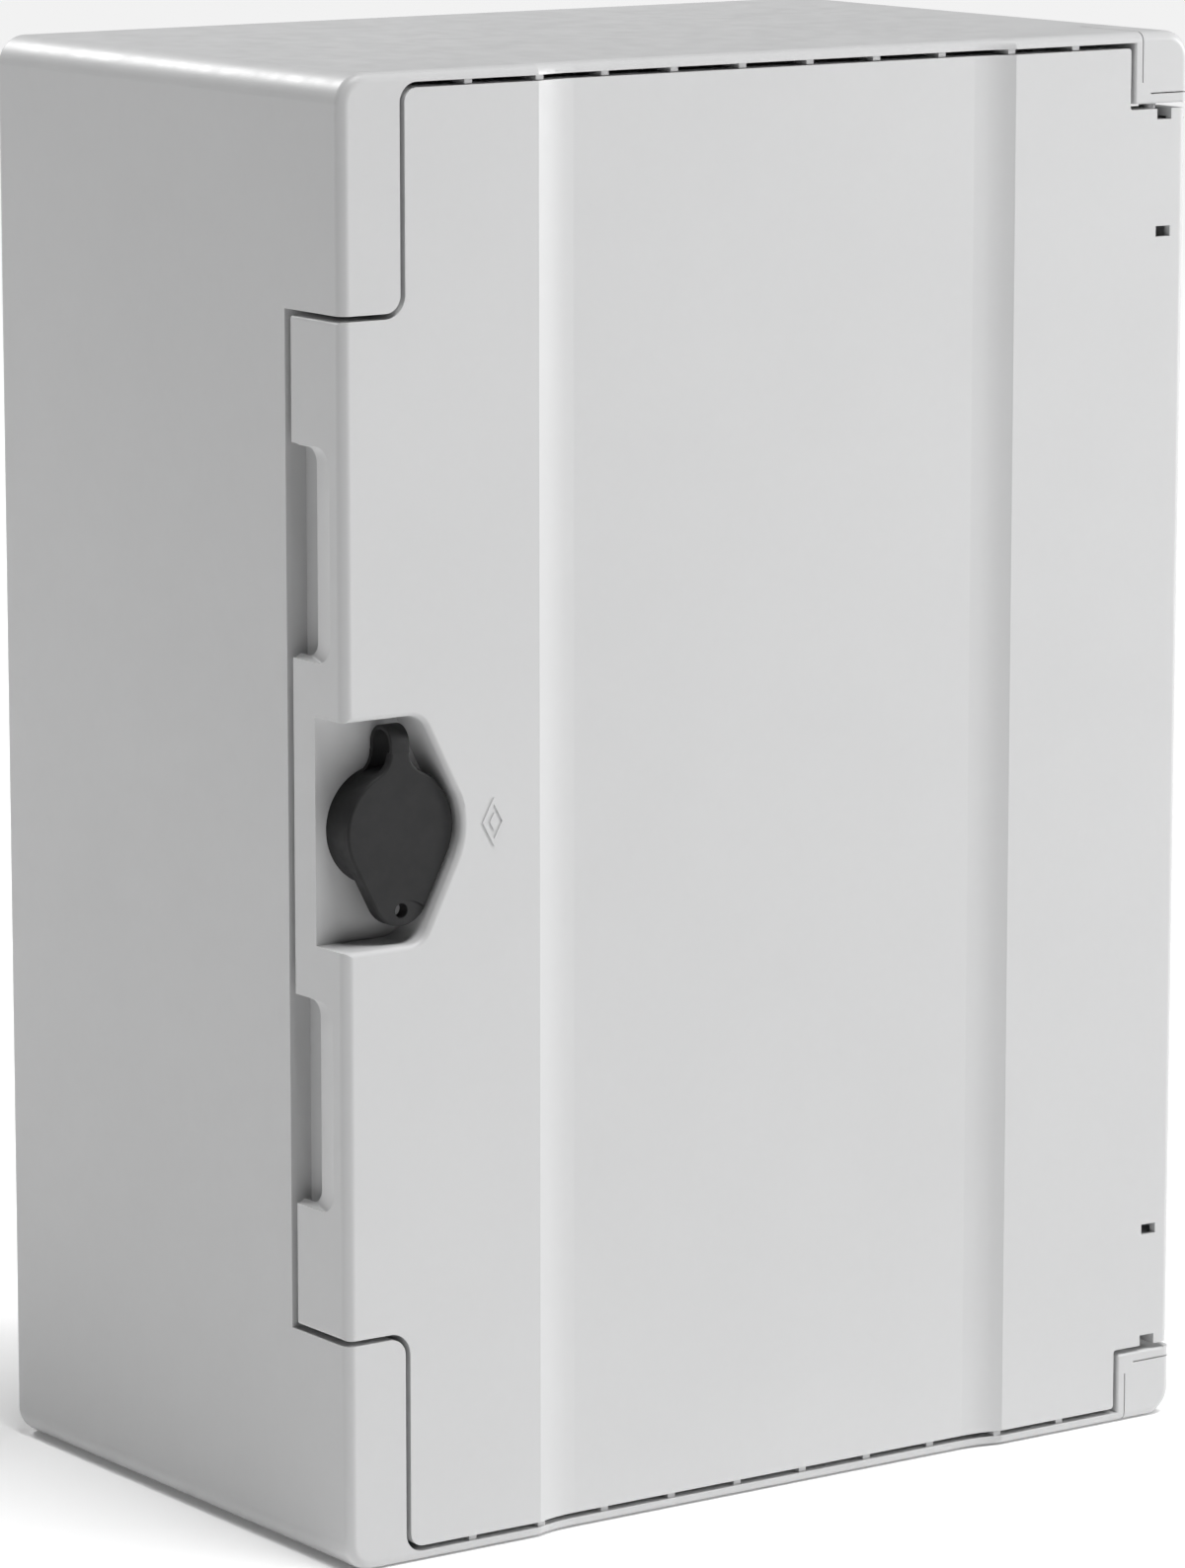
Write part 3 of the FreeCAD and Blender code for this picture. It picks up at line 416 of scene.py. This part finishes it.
@dataclass(frozen=True)
class StudioFloor(Finish):
    """Plain pale floor, very slightly self-lit so that it stays white far from the lamps."""

    name: str = "studio_floor"
    colour: Colour = (0.93, 0.93, 0.93)
    glow: float = 0.08

    def paint(self, graph: Graph) -> None:
        """Fill in the floor's nodes.

        Args:
            graph: Graph of the new material.
        """
        graph.shader.inputs["Base Color"].default_value = (*self.colour, 1.0)
        graph.shader.inputs["Emission Color"].default_value = (1.0, 1.0, 1.0, 1.0)
        graph.fix(Roughness=0.9, Specular_IOR_Level=0.0, Emission_Strength=self.glow)


SHELL_PLASTIC = MouldedPlastic(name="shell_plastic_grey", colour=(0.572, 0.574, 0.577))
DOOR_PLASTIC = MouldedPlastic()
RUBBER = SatinRubber()
FOAM = FoamSeal()
ZINC_SHEET = PlatedSteel()
SCREW_STEEL = PlatedSteel(name="screw_steel_plated", colour=(0.56, 0.56, 0.57), roughness=0.3,
                          drawn=(1.0, 12.0, 1.0))
PIN_STEEL = PlatedSteel(name="pin_steel_drawn", colour=(0.42, 0.42, 0.43), roughness=0.34)
BRASS = PlatedSteel(name="turned_brass", colour=(0.72, 0.53, 0.24), roughness=0.28, warmth=0.05)
LOCK_METAL = PlatedSteel(name="die_cast_nickel", colour=(0.50, 0.50, 0.49), roughness=0.33,
                         drawn=(4.0, 1.0, 4.0))


# ---------------------------------------------------------------------------
# Mesh making
# ---------------------------------------------------------------------------


class MeshMaker:
    """Builds mesh objects in the row frame."""

    @staticmethod
    def piece(name: str, verts: Sequence[Vector], faces: Sequence[Sequence[int]],
              finish: Finish, smooth_deg: float = 40.0) -> bpy.types.Object:
        """Make an object from points and faces.

        Args:
            name: Name of the object.
            verts: Points.
            faces: Point numbers of each face.
            finish: Finish of the whole piece.
            smooth_deg: Edges bent less than this are shaded smooth.

        Returns:
            The new object.
        """
        mesh = bpy.data.meshes.new(name)
        mesh.from_pydata([tuple(v) for v in verts], [], [list(f) for f in faces])
        mesh.validate()
        work = bmesh.new()
        work.from_mesh(mesh)
        bmesh.ops.recalc_face_normals(work, faces=work.faces)
        work.to_mesh(mesh)
        work.free()
        mesh.materials.append(finish.material())
        mesh.shade_smooth()
        mesh.set_sharp_from_angle(angle=math.radians(smooth_deg))
        obj = bpy.data.objects.new(name, mesh)
        bpy.context.scene.collection.objects.link(obj)
        return obj

    @staticmethod
    def sweep(rings: Sequence[Sequence[Vector]],
              closed: bool) -> Tuple[List[Vector], List[List[int]]]:
        """Join rings of points into a tube.

        Args:
            rings: Rings with the same number of points each.
            closed: True if the last ring joins the first.

        Returns:
            The points and the faces, with end caps if the tube is open.
        """
        verts = [v for ring in rings for v in ring]
        around = len(rings[0])
        count = len(rings)
        faces: List[List[int]] = []
        for i in range(count if closed else count - 1):
            a = i * around
            b = ((i + 1) % count) * around
            for k in range(around):
                n = (k + 1) % around
                faces.append([a + k, a + n, b + n, b + k])
        if not closed:
            faces.append(list(range(around))[::-1])
            faces.append([(count - 1) * around + k for k in range(around)])
        return verts, faces


def rounded_section(width: float, height: float, radius: float,
                    steps: int = 4) -> List[Tuple[float, float]]:
    """Outline of a rounded rectangle round the origin.

    Args:
        width: Full width.
        height: Full height.
        radius: Corner radius.
        steps: Segments in each corner.

    Returns:
        Points in order.
    """
    points = []
    for quarter in range(4):
        sx = 1 if quarter in (0, 3) else -1
        sy = 1 if quarter in (0, 1) else -1
        for k in range(steps + 1):
            turn = math.pi / 2 * (quarter + k / steps)
            points.append((sx * (width / 2 - radius) + radius * math.cos(turn),
                           sy * (height / 2 - radius) + radius * math.sin(turn)))
    return points


# ---------------------------------------------------------------------------
# Sub-assemblies
# ---------------------------------------------------------------------------


@dataclass
class CadDressing:
    """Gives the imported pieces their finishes."""

    finishes: Dict[str, Finish]

    def dress(self) -> None:
        """Put each node's finish in all of its material slots."""
        for node, finish in self.finishes.items():
            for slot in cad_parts[node].material_slots:
                slot.material = finish.material()
            LOG.info("dressed %s in %s", node, finish.name)


@dataclass
class StrapLoop:
    """Looped rubber strap that joins the lock cover's ring to its cap."""

    thickness: float = 1.6 * MM
    edge_radius: float = 0.45 * MM
    bend_steps: int = 28
    leg_steps: int = 4
    sink: float = 0.8 * MM   # how far the ends run into the ring and the cap
    tuck: float = 0.8        # and how much smaller they are there

    def build(self) -> bpy.types.Object:
        """Make the strap as a fixed loop along its packed stand-in, from the door side over to the
        cap.

        Returns:
            The strap.
        """
        low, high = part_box("cover_strap")
        half = (high.y - low.y) / 2 - self.thickness / 2
        mid_y = (low.y + high.y) / 2
        loop_z = high.z - half - self.thickness / 2
        mid_x = (low.x + high.x) / 2
        rises = [low.z + (loop_z - low.z) * k / self.leg_steps for k in range(self.leg_steps)]
        path = [Vector((mid_x, mid_y + half, low.z - self.sink))]
        path += [Vector((mid_x, mid_y + half, z)) for z in rises]
        for k in range(self.bend_steps + 1):
            turn = math.pi * k / self.bend_steps
            path.append(Vector((mid_x, mid_y + half * math.cos(turn),
                                loop_z + half * math.sin(turn))))
        path += [Vector((mid_x, mid_y - half, z)) for z in reversed(rises)]
        path.append(Vector((mid_x, mid_y - half, low.z - self.sink)))
        section = rounded_section(high.x - low.x, self.thickness, self.edge_radius)
        rings = []
        last = len(path) - 1
        across = Vector((1, 0, 0))
        for i, point in enumerate(path):
            along = (path[min(i + 1, last)] - path[max(i - 1, 0)]).normalized()
            out = along.cross(across).normalized()
            tuck = self.tuck if i in (0, last) else 1.0
            rings.append([point + (across * u + out * v) * tuck for u, v in section])
        verts, faces = MeshMaker.sweep(rings, closed=False)
        strap = MeshMaker.piece("strap_loop", verts, faces, RUBBER, SOFT_EDGE_DEG)
        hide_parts("cover_strap")
        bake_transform(strap)
        LOG.info("built strap_loop")
        return strap


@dataclass
class SealBead:
    """Foamed sealing bead round the inside of the door."""

    width: float = 6.0 * MM
    corner: float = 4.0 * MM
    corner_steps: int = 6
    crown_steps: int = 8
    skirt: float = 0.45                # share of the bead's height where its crown starts
    straight_step: float = 12.0 * MM
    wobble: float = 0.12 * MM          # uneven edge that a poured bead has
    wobble_upward: float = 61.0        # turns of that edge, in radians per metre
    wobble_across: float = 47.0

    def build(self) -> bpy.types.Object:
        """Make the bead in the space of its packed stand-in.

        Returns:
            The bead.
        """
        low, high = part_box("door_seal")
        depth = high.y - low.y
        half = self.width / 2
        section = [(-half, 0.0)]
        for k in range(self.crown_steps + 1):
            turn = math.pi * (1 - k / self.crown_steps)
            section.append((half * math.cos(turn),
                            depth * (self.skirt + (1 - self.skirt) * math.sin(turn))))
        section.append((half, 0.0))
        rings = []
        for centre, out in self.route(low, high):
            drift = self.wobble * math.sin(centre.z * self.wobble_upward
                                           + centre.x * self.wobble_across)
            rings.append([centre + out * (u + drift * (v > 0)) + Vector((0, v, 0))
                          for u, v in section])
        verts, faces = MeshMaker.sweep(rings, closed=True)
        bead = MeshMaker.piece("seal_bead", verts, faces, FOAM, SOFT_EDGE_DEG)
        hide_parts("door_seal")
        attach(bead, Body.DOOR.value)
        LOG.info("built seal_bead")
        return bead

    def route(self, low: Vector, high: Vector) -> Iterator[Tuple[Vector, Vector]]:
        """Walk round the bead's centre line.

        Args:
            low: Lowest corner of the bead's space.
            high: Highest corner of the bead's space.

        Yields:
            A point of the centre line at the bead's back, and the outward direction there.
        """
        inset = self.width / 2 + self.corner
        x0, x1 = low.x + inset, high.x - inset
        z0, z1 = low.z + inset, high.z - inset
        corners = [Vector((x, low.y, z)) for x, z in ((x1, z1), (x0, z1), (x0, z0), (x1, z0))]
        for i, centre in enumerate(corners):
            for k in range(self.corner_steps + 1):
                turn = math.pi / 2 * (i + k / self.corner_steps)
                out = Vector((math.cos(turn), 0, math.sin(turn)))
                yield centre + out * self.corner, out
            start = centre + out * self.corner
            end = corners[(i + 1) % len(corners)] + out * self.corner
            count = max(2, int((end - start).length / self.straight_step))
            for k in range(1, count):
                yield start.lerp(end, k / count), out


@dataclass
class Badge:
    """Small raised mark beside the lock: a lozenge outline round a solid lozenge."""

    half_width: float = 4.6 * MM
    half_height: float = 8.2 * MM
    line: float = 1.3 * MM
    core: float = 0.36       # size of the solid lozenge as a share of the outline's
    proud: float = 0.35 * MM
    sink: float = 0.4 * MM
    from_lock_side: float = 59.3 * MM
    above_floor: float = 249.8 * MM

    def build(self) -> bpy.types.Object:
        """Make the mark on the door's face.

        Returns:
            The mark.
        """
        front = CAD_BOX[0].y
        centre = Vector((CAD_BOX[0].x + self.from_lock_side, front, self.above_floor))
        verts: List[Vector] = []
        faces: List[List[int]] = []
        share = self.line / self.half_width
        for outer, inner in ((1.0, 1.0 - share), (self.core, 0.0)):
            self.lozenge(centre, outer, inner, verts, faces)
        mark = MeshMaker.piece("door_mark", verts, faces, DOOR_PLASTIC, HARD_EDGE_DEG)
        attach(mark, Body.DOOR.value)
        LOG.info("built door_mark")
        return mark

    def lozenge(self, centre: Vector, outer: float, inner: float, verts: List[Vector],
                faces: List[List[int]]) -> None:
        """Add one raised lozenge, solid or with a window.

        Args:
            centre: Middle of the mark on the door's face.
            outer: Outer size as a share of the mark.
            inner: Window's size as a share of the mark, or 0 for none.
            verts: Points, added to.
            faces: Faces, added to.
        """
        corners = ((1, 0), (0, 1), (-1, 0), (0, -1))
        count = len(corners)
        rings: List[List[int]] = []
        for share in (outer, inner) if inner else (outer,):
            for depth in (-self.proud, self.sink):
                rings.append([len(verts) + k for k in range(count)])
                verts += [centre + Vector((x * self.half_width * share, depth,
                                           z * self.half_height * share)) for x, z in corners]
        front, back = rings[:2]
        walls = [(front, back)]
        if inner:
            window_front, window_back = rings[2:]
            walls += [(front, window_front), (window_front, window_back), (back, window_back)]
        else:
            faces += [front, back]
        for near, far in walls:
            for k in range(count):
                n = (k + 1) % count
                faces.append([near[k], near[n], far[n], far[k]])


# ---------------------------------------------------------------------------
# Studio
# ---------------------------------------------------------------------------


class LampKind(Enum):
    """Kinds of studio lamp."""

    SOFT_BOX = "AREA"
    SKYLIGHT = "SUN"


@dataclass(frozen=True)
class Lamp:
    """One studio lamp that looks at the middle of the cabinet."""

    name: str
    kind: LampKind
    place: Tuple[float, float, float]
    power: float
    size: float


@dataclass
class Studio:
    """Floor, lights, surround and camera round the cabinet."""

    floor_half: float = 40.0
    world_level: float = 0.02     # strength of the surround as a light
    world_shown: float = 0.88     # and where it shows above the floor
    lens_mm: float = 158.74
    sensor_mm: float = 36.0
    camera_reach: float = 100.0
    camera_place: Tuple[float, float, float] = (-1.3937, -1.9734, 0.6700)
    camera_forward: Tuple[float, float, float] = (0.5673, 0.8042, -0.1776)
    target: Tuple[float, float, float] = (0.0, 0.0, 0.25)
    lamps: Tuple[Lamp, ...] = (
        Lamp("key_box", LampKind.SOFT_BOX, (3.1, -1.45, 1.0), 78.0, 0.6),
        Lamp("rim_box", LampKind.SOFT_BOX, (-0.55, 2.4, 1.95), 42.0, 0.7),
        Lamp("skylight", LampKind.SKYLIGHT, (0.3, -1.0, 4.0), 2.75, math.radians(28)),
    )

    def build(self) -> None:
        """Make the whole studio."""
        self.floor()
        self.surround()
        for lamp in self.lamps:
            self.hang(lamp)
        self.camera()
        bpy.context.scene.view_settings.view_transform = "Standard"
        LOG.info("studio ready with %d lamps", len(self.lamps))

    def floor(self) -> None:
        """Lay the floor under the cabinet."""
        h = self.floor_half
        z = CAD_BOX[0].z
        corners = [Vector((x, y, z)) for x, y in ((-h, -h), (h, -h), (h, h), (-h, h))]
        MeshMaker.piece("floor", corners, [[0, 1, 2, 3]], StudioFloor())

    def surround(self) -> None:
        """Set an even surround: dim as a light, and as pale as the far floor where it shows."""
        world = bpy.data.worlds.new("studio_surround")
        world.use_nodes = True
        nodes = world.node_tree.nodes
        links = world.node_tree.links
        rays = nodes.new("ShaderNodeLightPath")
        level = nodes.new("ShaderNodeMapRange")
        level.inputs["To Min"].default_value = self.world_level
        level.inputs["To Max"].default_value = self.world_shown
        links.new(rays.outputs["Is Camera Ray"], level.inputs["Value"])
        links.new(level.outputs["Result"], nodes["Background"].inputs["Strength"])
        nodes["Background"].inputs["Color"].default_value = (1.0, 1.0, 1.0, 1.0)
        bpy.context.scene.world = world

    def hang(self, lamp: Lamp) -> None:
        """Hang one lamp.

        Args:
            lamp: Lamp to hang.
        """
        data = bpy.data.lights.new(lamp.name, lamp.kind.value)
        data.energy = lamp.power
        if lamp.kind is LampKind.SOFT_BOX:
            data.shape = "SQUARE"
            data.size = lamp.size
        else:
            data.angle = lamp.size
        self.stand(lamp.name, data, lamp.place, Vector(self.target) - Vector(lamp.place))

    def stand(self, name: str, data: bpy.types.ID, place: Sequence[float],
              forward: Sequence[float]) -> bpy.types.Object:
        """Stand a lamp or a camera at a place.

        Args:
            name: Name of the object.
            data: Lamp or camera.
            place: Where it stands.
            forward: Direction in which it looks.

        Returns:
            The new object.
        """
        obj = bpy.data.objects.new(name, data)
        obj.location = place
        obj.rotation_mode = "QUATERNION"
        obj.rotation_quaternion = Vector(forward).to_track_quat("-Z", "Y")
        bpy.context.scene.collection.objects.link(obj)
        return obj

    def camera(self) -> None:
        """Stand the camera where it sees the front and the lock side."""
        data = bpy.data.cameras.new("camera")
        data.lens = self.lens_mm
        data.sensor_width = self.sensor_mm
        data.clip_end = self.camera_reach
        bpy.context.scene.camera = self.stand("camera", data, self.camera_place,
                                              self.camera_forward)


def main() -> None:
    """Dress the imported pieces, build the others, and set up the studio."""
    logging.basicConfig(level=logging.INFO, format="%(name)s: %(message)s")
    CadDressing(
        finishes={
            "shell": SHELL_PLASTIC, "door_panel": DOOR_PLASTIC,
            "hinge_cover_upper": DOOR_PLASTIC, "hinge_cover_lower": DOOR_PLASTIC,
            "hinge_pin_upper": PIN_STEEL, "hinge_pin_lower": PIN_STEEL,
            "mounting_plate": ZINC_SHEET, "plate_screws": SCREW_STEEL,
            "plate_washers": SCREW_STEEL, "threaded_inserts": BRASS,
            "lock_housing": LOCK_METAL, "lock_seal": FOAM, "lock_nut": SCREW_STEEL,
            "lock_rotor": LOCK_METAL, "lock_cam": ZINC_SHEET, "cam_washer": SCREW_STEEL,
            "cam_screw": SCREW_STEEL, "cover_ring": RUBBER, "cover_cap": RUBBER,
        },
    ).dress()
    StrapLoop().build()
    SealBead().build()
    Badge().build()
    Studio().build()


if __name__ == "__main__":
    main()
